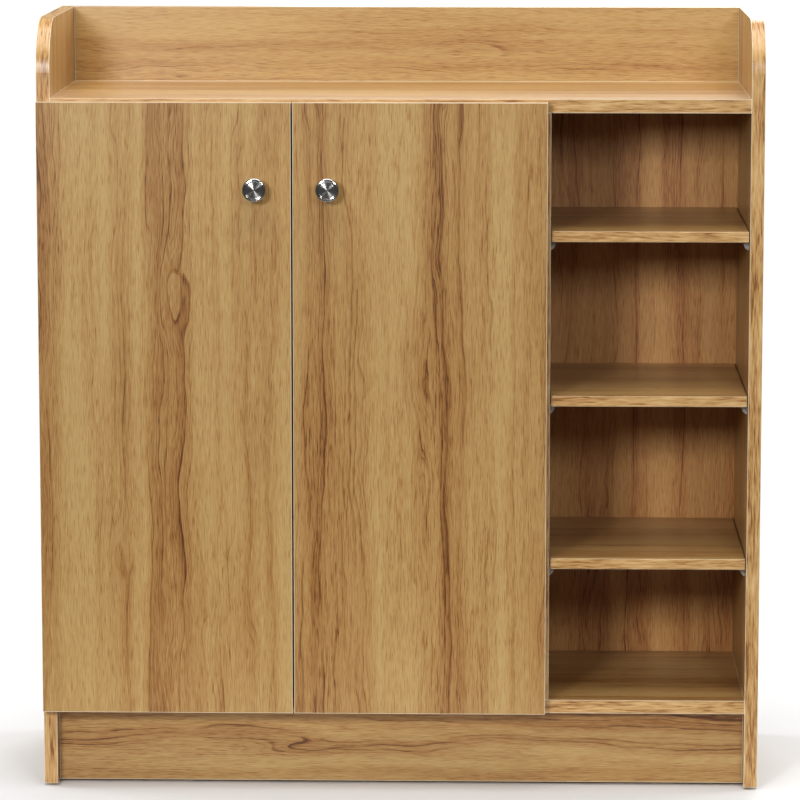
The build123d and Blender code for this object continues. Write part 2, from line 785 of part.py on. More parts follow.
def hinge_arms(hand):
    """Folded channels on the mounting plates, their noses reaching into the cups."""
    face = panel_run(hand)
    web_run = face + boss_height + arm_gauge
    tail_rise = front_rise + arm_length
    nose_out = arm_pin_run + nose_radius
    nose_in = arm_pin_run - nose_radius
    nose_tip = (arm_pin_run, arm_pin_rise - nose_radius)
    flange_foot = face + plate_gauge + arm_plate_gap
    crank_low, crank_high = (front_rise + rise for rise in arm_crank)
    shoulder_low, shoulder_high = (front_rise + rise for rise in arm_shoulder)
    web_end = arm_pin_rise + nose_radius + nose_web_gap
    clear_low = arm_pin_rise - 2 * nose_radius
    with BuildPart() as arms:
        for z in hinge_heights:
            plane = hinge_plane(hand, z)
            with BuildSketch(plane) as side:
                with BuildLine():
                    Polyline(
                        (nose_out, arm_pin_rise),
                        (nose_out, crank_low),
                        (web_run, crank_high),
                        (web_run, tail_rise),
                        (flange_foot, tail_rise),
                        (flange_foot, shoulder_high),
                        (nose_in - arm_shoulder_run, shoulder_low),
                        (nose_in, arm_pin_rise),
                    )
                    ThreePointArc((nose_in, arm_pin_rise), nose_tip, (nose_out, arm_pin_rise))
                make_face()
            extrude(side.sketch, amount=arm_half_width, both=True)
            with BuildSketch(plane) as inside:
                with BuildLine():
                    Polyline(
                        (nose_out + cut_overrun, clear_low),
                        (nose_out + cut_overrun, web_end),
                        (nose_out - arm_gauge, web_end),
                        (nose_out - arm_gauge, crank_low - arm_gauge / 2),
                        (web_run - arm_gauge, crank_high - arm_gauge / 2),
                        (web_run - arm_gauge, tail_rise + cut_overrun),
                        (face - cut_overrun, tail_rise + cut_overrun),
                        (face - cut_overrun, clear_low),
                        close=True,
                    )
                make_face()
            extrude(inside.sketch, amount=arm_half_width - arm_gauge, both=True, mode=Mode.SUBTRACT)
            with BuildSketch(plane) as pin_hole:
                with Locations((arm_pin_run, arm_pin_rise)):
                    Circle(arm_pin_radius)
            extrude(
                pin_hole.sketch, amount=arm_half_width + cut_overrun, both=True, mode=Mode.SUBTRACT
            )
            for rise in arm_screw_rises:
                point = hinge_point(hand, web_run, rise, z)
                drill(point, (-hand, 0, 0), arm_screw_radius + hole_clearance, arm_gauge)
    publish(arms, hand_name[hand] + "_hinge_arms")


def hinge_arm_pins(hand):
    with BuildPart() as pins:
        for z in hinge_heights:
            with BuildSketch(hinge_plane(hand, z)) as section:
                with Locations((arm_pin_run, arm_pin_rise)):
                    Circle(arm_pin_radius)
            extrude(section.sketch, amount=arm_half_width, both=True)
    publish(pins, hand_name[hand] + "_hinge_arm_pins")


def hinge_arm_screws(hand):
    web_run = panel_run(hand) + boss_height + arm_gauge
    with BuildPart() as fasteners:
        for z in hinge_heights:
            for rise in arm_screw_rises:
                seat = hinge_point(hand, web_run, rise, z)
                screw(seat, (-hand, 0, 0), arm_screw_radius, arm_screw_length, arm_screw_head)
    publish(fasteners, hand_name[hand] + "_hinge_arm_screws")


def hinge_plates(hand):
    """Winged mounting plates with a raised boss, screwed to the carrying panel."""
    face = panel_run(hand)
    outward = (-hand, 0, 0)
    boss_width = 2 * (arm_half_width - arm_gauge - boss_side_gap)
    boss_hole_depth = arm_screw_length - arm_gauge + pilot_end_gap
    raised = (Align.CENTER, Align.CENTER, Align.MIN)
    with BuildPart() as plates:
        for z in hinge_heights:
            seat = hinge_point(hand, face, plate_rise, z)
            with Locations(Plane(origin=seat, x_dir=(0, 1, 0), z_dir=outward)):
                Box(plate_width, plate_length, plate_gauge, align=raised)
        wing_corners = plates.edges().filter_by(Axis.X)
        fillet(wing_corners, plate_corner_radius)
        for z in hinge_heights:
            seat = hinge_point(hand, face, plate_rise, z)
            with Locations(Plane(origin=seat, x_dir=(0, 1, 0), z_dir=outward)):
                Box(boss_length, boss_width, boss_height, align=raised)
            for offset in plate_screw_offsets:
                point = hinge_point(hand, face + plate_gauge, plate_rise, z + offset)
                drill(point, outward, hinge_screw_radius + hole_clearance, plate_gauge)
            for rise in arm_screw_rises:
                point = hinge_point(hand, face + boss_height, rise, z)
                drill(point, outward, arm_screw_radius + hole_clearance, boss_hole_depth)
    publish(plates, hand_name[hand] + "_hinge_plates")


def hinge_plate_screws(hand):
    with BuildPart() as fasteners:
        for z in hinge_heights:
            for offset in plate_screw_offsets:
                seat = hinge_point(hand, panel_run(hand) + plate_gauge, plate_rise, z + offset)
                screw(seat, (-hand, 0, 0), hinge_screw_radius, plate_screw_length, plate_screw_head)
    publish(fasteners, hand_name[hand] + "_hinge_plate_screws")


def hinge_links(hand):
    """Cranked links from the arms' noses to the pins that sit in the cups."""
    arm_pin = (arm_pin_run, arm_pin_rise)
    with BuildPart() as links:
        for z in hinge_heights:
            plane = hinge_plane(hand, z)
            with BuildSketch(plane) as band:
                with BuildLine():
                    FilletPolyline(arm_pin, link_elbow, link_cup_pin, radius=link_elbow_radius)
                trace(line_width=link_gauge)
                with Locations(link_cup_pin):
                    Circle(link_eye_radius)
                with Locations(arm_pin):
                    Circle(nose_radius - link_nose_gap)
                with Locations(link_cup_pin):
                    Circle(cup_pin_radius, mode=Mode.SUBTRACT)
                with Locations(arm_pin):
                    Circle(arm_pin_radius + hole_clearance, mode=Mode.SUBTRACT)
            extrude(band.sketch, amount=link_half_width, both=True)
    publish(links, hand_name[hand] + "_hinge_links")


def hinge_link_pins(hand):
    with BuildPart() as pins:
        for z in hinge_heights:
            with BuildSketch(hinge_plane(hand, z)) as section:
                with Locations(link_cup_pin):
                    Circle(cup_pin_radius)
            extrude(section.sketch, amount=cup_pin_half_length, both=True)
    publish(pins, hand_name[hand] + "_hinge_link_pins")


for hand in (-1, 1):
    door(hand)
    knob(hand)
    knob_screw(hand)
    bumpers(hand)
    hinge_cups(hand)
    hinge_cup_screws(hand)
    hinge_arms(hand)
    hinge_arm_pins(hand)
    hinge_arm_screws(hand)
    hinge_plates(hand)
    hinge_plate_screws(hand)
    hinge_links(hand)
    hinge_link_pins(hand)
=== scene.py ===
"""Looks of the shoe cabinet: foil-faced boards, banded edges, spun knobs, plated hinges."""

import math

import bpy
import numpy as np
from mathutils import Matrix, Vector


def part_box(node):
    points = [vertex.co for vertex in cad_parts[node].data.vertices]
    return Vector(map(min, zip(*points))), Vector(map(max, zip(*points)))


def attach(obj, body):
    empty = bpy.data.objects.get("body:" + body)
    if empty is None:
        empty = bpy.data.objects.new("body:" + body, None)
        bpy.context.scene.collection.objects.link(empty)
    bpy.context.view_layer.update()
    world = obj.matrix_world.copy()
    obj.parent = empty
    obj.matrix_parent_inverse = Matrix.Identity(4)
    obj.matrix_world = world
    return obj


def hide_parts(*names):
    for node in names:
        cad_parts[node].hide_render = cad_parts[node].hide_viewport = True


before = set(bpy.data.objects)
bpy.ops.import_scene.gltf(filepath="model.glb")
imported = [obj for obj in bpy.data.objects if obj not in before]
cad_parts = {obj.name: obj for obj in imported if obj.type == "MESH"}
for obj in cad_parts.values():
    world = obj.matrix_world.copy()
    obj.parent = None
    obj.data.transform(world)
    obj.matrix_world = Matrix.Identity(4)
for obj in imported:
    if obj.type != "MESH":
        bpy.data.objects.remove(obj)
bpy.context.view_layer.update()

MM = 0.001  # metres in a millimetre

# Helpers ----------------------------------------------------------------------------


def linear(colour):
    """An sRGB hex colour as linear RGBA: c/12.92 below 0.04045, else ((c+0.055)/1.055)^2.4."""
    channels = [int(colour[i : i + 2], 16) / 255 for i in (1, 3, 5)]
    return [c / 12.92 if c <= 0.04045 else ((c + 0.055) / 1.055) ** 2.4 for c in channels] + [1.0]


def add(tree, kind, settings=None, inputs=None, stops=None):
    """Adds one node, sets its properties, fills or links its inputs and returns its outputs.

    Stops of (place, tone) fill a colour ramp, where a tone is a hex colour or a grey from 0 to 1.
    """
    node = tree.nodes.new(kind)
    for key, value in (settings or {}).items():
        setattr(node, key, value)
    for key, value in (inputs or {}).items():
        if isinstance(value, bpy.types.NodeSocket):
            tree.links.new(value, node.inputs[key])
        else:
            node.inputs[key].default_value = value
    if stops:
        elements = node.color_ramp.elements
        while len(elements) < len(stops):
            elements.new(0.5)
        for element, (place, tone) in zip(elements, stops):
            element.position = place
            element.color = linear(tone) if isinstance(tone, str) else (tone, tone, tone, 1)
    return node.outputs


def calculate(tree, operation, *values):
    """One Math node's result."""
    return add(tree, "ShaderNodeMath", {"operation": operation}, dict(enumerate(values)))[0]


def ramp(tree, value, stops):
    """A value turned into a colour or a grey by stops of (place, tone)."""
    return add(tree, "ShaderNodeValToRGB", inputs={"Fac": value}, stops=stops)["Color"]


def mix_colours(tree, amount, first, second):
    """Two colours mixed by an amount; the numbers are the sockets of a colour Mix node."""
    return add(tree, "ShaderNodeMix", {"data_type": "RGBA"}, {0: amount, 6: first, 7: second})[2]


def new_material(name, **shader):
    """A material with one Principled shader; returns the material, its tree and the shader."""
    material = bpy.data.materials.new(name)
    material.use_nodes = True
    tree = material.node_tree
    tree.nodes.clear()
    node = tree.nodes.new("ShaderNodeBsdfPrincipled")
    for key, value in shader.items():
        node.inputs[key.replace("_", " ")].default_value = value
    add(tree, "ShaderNodeOutputMaterial", inputs={"Surface": node.outputs[0]})
    return material, tree, node


def relief(tree, shader, height, depth_mm):
    """Relief of a given depth under the shader's normal."""
    inputs = {"Height": height, "Distance": depth_mm * MM, "Strength": 1.0}
    tree.links.new(add(tree, "ShaderNodeBump", inputs=inputs)["Normal"], shader.inputs["Normal"])


def millimetres(tree, turn=(0, 0, 0)):
    """Object coordinates in millimetres, turned."""
    place = add(tree, "ShaderNodeTexCoord")["Object"]
    inputs = {"Vector": place, "Scale": (1 / MM, 1 / MM, 1 / MM), "Rotation": turn}
    return add(tree, "ShaderNodeMapping", inputs=inputs)["Vector"]


def grain_noise(tree, place, cell, seed, detail=2.0, roughness=0.5):
    """Noise whose cells measure cell = (x, y, z) millimetres; the seed moves it elsewhere."""
    shift = (seed, seed * 0.7, seed * 1.3)
    inputs = {"Vector": place, "Scale": [1 / c for c in cell], "Location": shift}
    stretched = add(tree, "ShaderNodeMapping", inputs=inputs)["Vector"]
    inputs = {"Vector": stretched, "Scale": 1.0, "Detail": detail, "Roughness": roughness}
    return add(tree, "ShaderNodeTexNoise", inputs=inputs)["Fac"]


def thin_in(axis, width, length):
    """The cell of a noise that is thin in one axis and long in the others."""
    return [width if name == axis else length for name in "xyz"]


# Wood-figure foil -------------------------------------------------------------------

# Turns that bring the grain of a board to the pattern's Z.
GRAIN_TURNS = {"z": (0, 0, 0), "x": (0, math.radians(-90), 0)}

# Printed tones from early wood to late wood.
FIGURE_TONES = [
    (0.0, "#BF9E65"),
    (0.22, "#B48E56"),
    (0.45, "#A67B46"),
    (0.66, "#976835"),
    (0.84, "#7E5125"),
    (1.0, "#5E3616"),
]

# Noises that bend the flow: size across, size along, offset of the seed, swing; in millimetres.
FLOW_NOISES = [(150, 600, 3.1, 42), (42, 150, 7.7, 34), (10, 60, 1.9, 5)]

# Growth lines: spacing in millimetres, offset, sharpness, depth.
LINES = [(19.0, 0.37, 2.2, 0.58), (6.6, 0.71, 5.5, 1.3), (2.9, 0.13, 3.0, 0.8)]

# What the layers add to the tone: the ground, the bands, the growth lines outside the bands and
# in them, the fibres, the grit between them, and the dark and light ticks of the pores.
GROUND, BAND_DEPTH = 0.05, 0.54
LINE_DEPTH, LINE_DEPTH_IN_BANDS = 0.09, 1.0
FIBRE_DEPTH, GRIT_DEPTH = 0.16, 0.62
DARK_TICK_DEPTH, LIGHT_TICK_DEPTH = 0.52, -0.12
BAND_DRIFT = 1.1  # how far the bands' tone wanders along the grain
PORE_SHARE = 0.8  # how deep the pores are pressed, against the swell of the fibres
FOIL_RELIEF = 0.05  # depth of the foil's relief, millimetres

# Printed edge strips, from the dark dashes to the pale flecks.
EDGE_TONES = [
    (0.31, "#83562A"),
    (0.4, "#A97B46"),
    (0.48, "#BF945C"),
    (0.6, "#CDA46B"),
    (0.74, "#DBB882"),
]

# The pale line along each arris, partly the band's trimmed core and partly a painted highlight,
# and how far it reaches from the arris, in millimetres.
ARRIS_CORE_AND_HIGHLIGHT_TONE, ARRIS_LINE = "#E8DBC0", 0.42

BACK_TINT = (1.16, 1.0, 0.92, 1.0)  # the back panel's print is a little redder than the boards'


def wood_figure(tree, grain, seed, front=0.0, bands=None, knots=()):
    """The printed figure: bands, growth lines, fibres and pores that all follow one flow.

    The flow is the distance across the grain plus three noises stretched along it. Around a knot
    it is pulled by pull times the distance from the knot times exp(-(u/a)^2 - (v/b)^2), which
    parts the lines and closes them into eyes. A line's tone is the fraction of flow / spacing
    raised to a power, so each ring darkens slowly and ends sharply; its strength is random for
    each ring and fades along the grain. Front is the face's depth, where across is the plain
    X of the pattern. Returns the colour and a height for relief.
    """
    place = millimetres(tree, GRAIN_TURNS[grain])
    axes = add(tree, "ShaderNodeSeparateXYZ", inputs={"Vector": place})
    across = calculate(tree, "ADD", axes["X"], calculate(tree, "SUBTRACT", axes["Y"], front))

    def noise(across_mm, along_mm, offset, detail=2.0, roughness=0.5):
        """Noise of a size across and along the grain, with its own offset of the seed."""
        cell = (across_mm, across_mm, along_mm)
        return grain_noise(tree, place, cell, seed + offset, detail, roughness)

    flow = across
    for across_mm, along_mm, offset, swing in FLOW_NOISES:
        centred = calculate(tree, "SUBTRACT", noise(across_mm, along_mm, offset), 0.5)
        flow = calculate(tree, "MULTIPLY_ADD", centred, swing, flow)
    for knot_u, knot_v, half_u, half_v, pull in knots:
        du = calculate(tree, "SUBTRACT", across, knot_u)
        su = calculate(tree, "DIVIDE", du, half_u)
        sv = calculate(tree, "DIVIDE", calculate(tree, "SUBTRACT", axes["Z"], knot_v), half_v)
        square = calculate(tree, "MULTIPLY_ADD", su, su, calculate(tree, "MULTIPLY", sv, sv))
        bell = calculate(tree, "EXPONENT", calculate(tree, "MULTIPLY", square, -1.0))
        flow = calculate(tree, "MULTIPLY_ADD", calculate(tree, "MULTIPLY", bell, pull), du, flow)

    if bands:
        low, high = bands[0][0], bands[-1][0]
        inputs = {"Value": flow, "From Min": low, "From Max": high}
        share = add(tree, "ShaderNodeMapRange", inputs=inputs)[0]
        band = ramp(tree, share, [((x - low) / (high - low), tone) for x, tone in bands])
        drift = calculate(tree, "SUBTRACT", noise(16, 420, 12.7), 0.5)
        band = calculate(tree, "MAXIMUM", calculate(tree, "MULTIPLY_ADD", drift, BAND_DRIFT, band), 0.0)
    else:
        drift = noise(30, 700, 12.7, detail=2.0, roughness=0.6)
        band = ramp(tree, drift, [(0.34, 0.1), (0.47, 0.28), (0.53, 0.42), (0.62, 0.7)])

    def growth_lines(spacing, offset, power):
        """Rings of a spacing in millimetres: slow darkening with a sharp end."""
        count = calculate(tree, "MULTIPLY_ADD", flow, 1 / spacing, offset)
        tooth = calculate(tree, "POWER", calculate(tree, "FRACT", count), power)
        index = calculate(tree, "FLOOR", count)
        own = add(tree, "ShaderNodeTexWhiteNoise", {"noise_dimensions": "1D"}, {"W": index})["Value"]
        fade = ramp(tree, noise(14, 170, offset * 9, detail=1.0), [(0.32, 0.0), (0.62, 1.0)])
        return calculate(tree, "MULTIPLY", tooth, calculate(tree, "MULTIPLY", own, fade))

    # Fibres and pores are under half a millimetre on the foil; drawn wider so that they show.
    fibre = calculate(tree, "SUBTRACT", noise(2.4, 70, 2.2, detail=2.0, roughness=0.6), 0.5)
    grit = calculate(tree, "SUBTRACT", noise(0.8, 12, 5.4, detail=1.0), 0.5)
    tick = noise(0.95, 19, 8.8, detail=1.0)
    dark_tick = ramp(tree, tick, [(0.0, 1.0), (0.35, 1.0), (0.42, 0.0)])
    light_tick = ramp(tree, tick, [(0.58, 0.0), (0.68, 1.0)])
    dark_tick = calculate(tree, "MULTIPLY", dark_tick, noise(40, 260, 6.3, detail=1.0))

    tone = calculate(tree, "MULTIPLY_ADD", band, BAND_DEPTH, GROUND)
    line_depth = calculate(tree, "MULTIPLY_ADD", band, LINE_DEPTH_IN_BANDS, LINE_DEPTH)
    for spacing, offset, power, amount in LINES:
        scaled = calculate(tree, "MULTIPLY", growth_lines(spacing, offset, power), line_depth)
        tone = calculate(tree, "MULTIPLY_ADD", scaled, amount, tone)
    layers = ((fibre, FIBRE_DEPTH), (grit, GRIT_DEPTH))
    layers += ((dark_tick, DARK_TICK_DEPTH), (light_tick, LIGHT_TICK_DEPTH))
    for layer, depth in layers:
        tone = calculate(tree, "MULTIPLY_ADD", layer, depth, tone)
    height = calculate(tree, "SUBTRACT", fibre, calculate(tree, "MULTIPLY", dark_tick, PORE_SHARE))
    return ramp(tree, tone, FIGURE_TONES), height


def facing(tree, axis):
    """How far the surface turns along an axis of the object, from 0 to 1."""
    normal = add(tree, "ShaderNodeTexCoord")["Normal"]
    part = add(tree, "ShaderNodeSeparateXYZ", inputs={"Vector": normal})[axis.upper()]
    return calculate(tree, "ABSOLUTE", part)


def edge_band(tree, face):
    """Printed edge strip: short dark dashes and pale flecks that run along each edge."""
    place = millimetres(tree)
    streak = grain_noise(tree, place, thin_in(face, 1.9, 24.0), 4.4, detail=2.5, roughness=0.6)
    cloud = grain_noise(tree, place, thin_in(face, 9.0, 90.0), 9.2, detail=1.0)
    tone = calculate(tree, "MULTIPLY_ADD", cloud, 0.5, calculate(tree, "SUBTRACT", streak, 0.25))
    return ramp(tree, tone, EDGE_TONES)


# Mask of the pale arris line, which is partly the band's trimmed core and partly painted highlight.
def arris_core_and_highlight_mask(tree, node, corner=None):
    """1 close to the edges of a board's box, 0 elsewhere.

    The depth under a pair of sides is half - |place - middle|; an edge is where two depths are
    small. A side panel's rounded corner adds radius - hypot(y - cy, z - cz) as an edge depth.
    """
    low, high = (np.array(end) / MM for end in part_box(node))
    place = millimetres(tree)
    axes = add(tree, "ShaderNodeSeparateXYZ", inputs={"Vector": place})
    near = []
    for axis, start, end in zip("XYZ", low, high):
        offset = calculate(tree, "SUBTRACT", axes[axis], (start + end) / 2)
        away = calculate(tree, "ABSOLUTE", offset)
        near.append(calculate(tree, "GREATER_THAN", away, (end - start) / 2 - ARRIS_LINE))
    total = calculate(tree, "ADD", calculate(tree, "ADD", near[0], near[1]), near[2])
    line = calculate(tree, "GREATER_THAN", total, 1.5)  # two pairs of sides, or three
    if corner:
        behind = calculate(tree, "SUBTRACT", low[1] + corner, axes["Y"])
        above = calculate(tree, "SUBTRACT", axes["Z"], high[2] - corner)
        above_squared = calculate(tree, "MULTIPLY", above, above)
        square = calculate(tree, "MULTIPLY_ADD", behind, behind, above_squared)
        reach = calculate(tree, "SQRT", square)
        outside = calculate(tree, "GREATER_THAN", reach, corner - ARRIS_LINE)
        inside = calculate(tree, "GREATER_THAN", calculate(tree, "MINIMUM", behind, above), 0.0)
        curved = calculate(tree, "MULTIPLY", calculate(tree, "MULTIPLY", outside, inside), near[0])
        line = calculate(tree, "MAXIMUM", line, curved)
    return line


def foil_board(node, grain, face, seed, front=0.0, bands=None, knots=(), corner=None):
    """Particle board faced with a printed melamine foil, its edges banded with printed PVC.

    The foil has a satin lacquer pressed with shallow pores, which breaks its reflections. Along
    each arris a pale line is painted: partly the trimmed core of the band, partly a painted
    highlight in place of the light caught by the rounded edge.
    """
    name = "melamine_foil_" + node
    material, tree, shader = new_material(name, Roughness=0.3, Specular_IOR_Level=0.45)
    figure, height = wood_figure(tree, grain, seed, front, bands, knots)
    on_band = calculate(tree, "LESS_THAN", facing(tree, face), 0.5)
    colour = mix_colours(tree, on_band, figure, edge_band(tree, face))
    # The pale arris line: partly the band's trimmed core, partly a painted highlight of the rounded
    # edge.
    colour = mix_colours(tree, arris_core_and_highlight_mask(tree, node, corner), colour, linear(ARRIS_CORE_AND_HIGHLIGHT_TONE))
    tree.links.new(colour, shader.inputs["Base Color"])
    relief(tree, shader, height, FOIL_RELIEF)
    return material


def hardboard_back(name, seed):
    """Hardboard with the foil on its front and bare pressed brown fibre behind."""
    material, tree, shader = new_material(name, Roughness=0.45, Specular_IOR_Level=0.4)
    figure, height = wood_figure(tree, "z", seed)
    normal = add(tree, "ShaderNodeTexCoord")["Normal"]
    rearward = add(tree, "ShaderNodeSeparateXYZ", inputs={"Vector": normal})["Y"]
    fleck = grain_noise(tree, millimetres(tree), (3.0, 3.0, 3.0), 1.7, 4.0, 0.7)
    fibre = ramp(tree, fleck, [(0.3, "#5E412A"), (0.5, "#7A573A"), (0.7, "#93704D")])
    inputs = {0: 1.0, 6: figure, 7: BACK_TINT}
    figure = add(tree, "ShaderNodeMix", {"data_type": "RGBA", "blend_type": "MULTIPLY"}, inputs)[2]
    behind = calculate(tree, "GREATER_THAN", rearward, -0.5)
    tree.links.new(mix_colours(tree, behind, figure, fibre), shader.inputs["Base Color"])
    relief(tree, shader, height, FOIL_RELIEF)
    return material


def metal(name, colour, roughness, grain_mm, unevenness, **more):
    """Plated or cast metal: its gloss changes a little from grain to grain."""
    material, tree, shader = new_material(name, Metallic=1.0, Base_Color=linear(colour), **more)
    cloud = grain_noise(tree, millimetres(tree), (grain_mm,) * 3, 2.0, 3.0)
    low, high = roughness - unevenness, roughness + unevenness
    gloss = add(tree, "ShaderNodeMapRange", inputs={"Value": cloud, "To Min": low, "To Max": high})[0]
    tree.links.new(gloss, shader.inputs["Roughness"])
    relief(tree, shader, cloud, depth_mm=0.01)
    return material


def moulded(name, dark, pale, grain_mm, roughness, **more):
    """Moulded plastic: slight mottling and an even fine texture."""
    material, tree, shader = new_material(name, Roughness=roughness, **more)
    cloud = grain_noise(tree, millimetres(tree), (grain_mm,) * 3, 3.0, 4.0)
    tree.links.new(ramp(tree, cloud, [(0.3, dark), (0.7, pale)]), shader.inputs["Base Color"])
    relief(tree, shader, cloud, depth_mm=0.02)
    return material


def spun_nickel():
    """Satin nickel turned on a lathe: round scratches that smear each light into a radial streak."""
    material, tree, shader = new_material(
        "spun_nickel",
        Metallic=1.0,
        Base_Color=linear("#A9A7A3"),
        Anisotropic=0.94,
        Anisotropic_Rotation=0.25,
    )
    round_the_axis = {"direction_type": "UV_MAP", "uv_map": "turned"}
    tangent = add(tree, "ShaderNodeTangent", round_the_axis)["Tangent"]
    tree.links.new(tangent, shader.inputs["Tangent"])
    spin = add(tree, "ShaderNodeUVMap", {"uv_map": "turned"})["UV"]
    # Scratches about 0.1 mm apart, drawn 0.5 mm apart so that they show.
    inputs = {"Vector": spin, "Scale": (1.5, 48.0, 1.0)}
    rings = add(tree, "ShaderNodeMapping", inputs=inputs)["Vector"]
    inputs = {"Vector": rings, "Scale": 1.0, "Detail": 3.0}
    scratch = add(tree, "ShaderNodeTexNoise", inputs=inputs)["Fac"]
    inputs = {"Value": scratch, "To Min": 0.14, "To Max": 0.27}
    gloss = add(tree, "ShaderNodeMapRange", inputs=inputs)[0]
    tree.links.new(gloss, shader.inputs["Roughness"])
    relief(tree, shader, scratch, depth_mm=0.004)
    return material


# Finishes ---------------------------------------------------------------------------
# Bands are (place across the grain in millimetres, tone): 0 is early wood, 1 late wood.
# Knots are (across, along, half width, half length, pull), lengths in millimetres.

LEFT_DOOR_BANDS = [
    (-400, 0.8), (-385, 0.35), (-340, 0.05), (-305, 0.35), (-280, 0.15), (-265, 0.75), (-235, 0.5),
    (-190, 0.1), (-165, 0.4), (-120, 0.1),
]
RIGHT_DOOR_BANDS = [
    (-120, 0.3), (-90, 0.75), (-65, 0.4), (-50, 0.6), (-25, 0.15), (5, 0.1), (45, 0.75), (80, 0.4),
    (110, 0.05), (165, 0.5),
]
# The upstand's bands are its print kept to pale early-wood tones, a painted lift for the light it gets
# from above.
UPSTAND_BANDS_LIFTED_BY_PAINTED_LIGHT = [(-865, 0.15), (-835, 0.05), (-800, 0.3), (-770, 0.15)]
PLINTH_BANDS = [(-75, 0.7), (-60, 0.2), (-45, 0.8), (-30, 0.1), (-15, 0.55), (0, 0.3)]
LEFT_DOOR_KNOTS = [(-243, 560, 17, 46, -1.6), (-306, 276, 13, 34, -1.6), (-217, 221, 12, 30, -1.6)]
RIGHT_DOOR_KNOTS = [(-47, 686, 11, 30, -1.6), (20, 330, 14, 60, -0.9)]
UPSTAND_KNOTS = [(-782, -255, 5, 17, -1.4), (-840, 190, 9, 60, -1.2)]
PLINTH_KNOTS = [(-47, -108, 9, 32, -1.6), (-30, -225, 17, 95, -1.3), (-34, 140, 15, 110, -1.2)]

SHELF_HEIGHTS = ("lower", "middle", "upper")
SIDE_CORNER = 58.0  # radius of the side panels' rounded corner
door_front, plinth_front, upstand_front = (
    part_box(node)[0][1] / MM for node in ("left_door", "plinth_board", "upstand_board")
)
# Boards: grain axis, face axis, seed, depth of the front face, bands, knots, rounded corner.
BOARDS = {
    "left_door": ("z", "y", 3.0, door_front, LEFT_DOOR_BANDS, LEFT_DOOR_KNOTS),
    "right_door": ("z", "y", 11.0, door_front, RIGHT_DOOR_BANDS, RIGHT_DOOR_KNOTS),
    "left_side_panel": ("z", "x", 23.0, 0.0, None, (), SIDE_CORNER),
    "right_side_panel": ("z", "x", 27.0, 0.0, None, (), SIDE_CORNER),
    "divider_panel": ("z", "x", 31.0),
    "top_panel": ("x", "z", 37.0),
    "bottom_panel": ("x", "z", 41.0),
    "upstand_board": ("x", "y", 53.0, upstand_front, UPSTAND_BANDS_LIFTED_BY_PAINTED_LIGHT, UPSTAND_KNOTS),
    "plinth_board": ("x", "y", 61.0, plinth_front, PLINTH_BANDS, PLINTH_KNOTS),
}
shelf_nodes = [part + "_shelf_" + height for part in ("open", "inner") for height in SHELF_HEIGHTS]
BOARDS.update({node: ("x", "z", 71.0 + 5.0 * place) for place, node in enumerate(shelf_nodes)})
boards = {node: foil_board(node, *made) for node, made in BOARDS.items()}
back_finish = hardboard_back("foiled_hardboard", 83.0)
zinc = metal("zinc_plated_steel", "#B9BABC", 0.32, 0.8, 0.05)
nickel = metal("nickel_plated_steel", "#C9C7C2", 0.2, 2.0, 0.04)
cast_zinc = metal("die_cast_zinc", "#A9AAAB", 0.5, 0.6, 0.08)
turned_nickel = spun_nickel()
clear = moulded("clear_polycarbonate", "#DCDCD6", "#F2F2EE", 3.0, 0.18, Transmission_Weight=0.6)
grey = moulded("grey_polypropylene", "#77787A", "#8D8E90", 1.5, 0.5)
beech = moulded("beech_dowel_wood", "#B98F5C", "#D9B98A", 1.2, 0.6)

# The first word found in a node's name decides its finish.
FINISH_WORDS = {
    "supports": clear,
    "bumpers": clear,
    "screw": zinc,
    "nails": zinc,
    "bolts": zinc,
    "glides": grey,
    "dowels": beech,
    "cam_locks": cast_zinc,
    "hinge": nickel,
    "knob": nickel,
    "back_panel": back_finish,
}


def finish_for(node):
    """The finish of a CAD node: its own board's, or that of the first word its name holds."""
    if node in boards:
        return boards[node]
    return next(finish for word, finish in FINISH_WORDS.items() if word in node)


# Pieces of the frame ----------------------------------------------------------------

ARRIS_RADIUS = 0.9 * MM


def ease_edges(piece):
    """Joins the mesh's triangles and rounds its sharp edges."""
    weld = piece.modifiers.new("weld", "WELD")
    weld.merge_threshold = 0.01 * MM
    bevel = piece.modifiers.new("arris", "BEVEL")
    bevel.width = ARRIS_RADIUS
    bevel.segments = 2
    bevel.limit_method = "ANGLE"
    bevel.angle_limit = math.radians(40)
    bevel.use_clamp_overlap = True


# The shelves have no holes; on the drilled boards the holes' short edges leave no room to round.
for name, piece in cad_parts.items():
    piece.data.materials.clear()
    piece.data.materials.append(finish_for(name))
    if name in shelf_nodes:
        ease_edges(piece)


# Knobs ------------------------------------------------------------------------------


def arc(centre, radius, start, end, count=9):
    """Points on a circle: centre plus radius times the cosine and sine of each angle."""
    angles = np.radians(np.linspace(start, end, count))
    return np.stack([centre[0] + radius * np.cos(angles), centre[1] + radius * np.sin(angles)], axis=1)


# The knob's shape in millimetres.
NECK, FOOT_FLARE = 5.4, 2.1  # radius of the neck, and what its foot adds to it
NECK_START, NECK_LENGTH, HEAD_LENGTH = 1.5, 7.0, 8.5
RIM, GROOVE, BEAD = 1.7, 0.6, 0.42  # radii of the rim, the groove and the bead beside it
CROWN_RISE = 0.4  # height of the face's dome
UV_LENGTH = 26.0  # length of profile in one unit of V


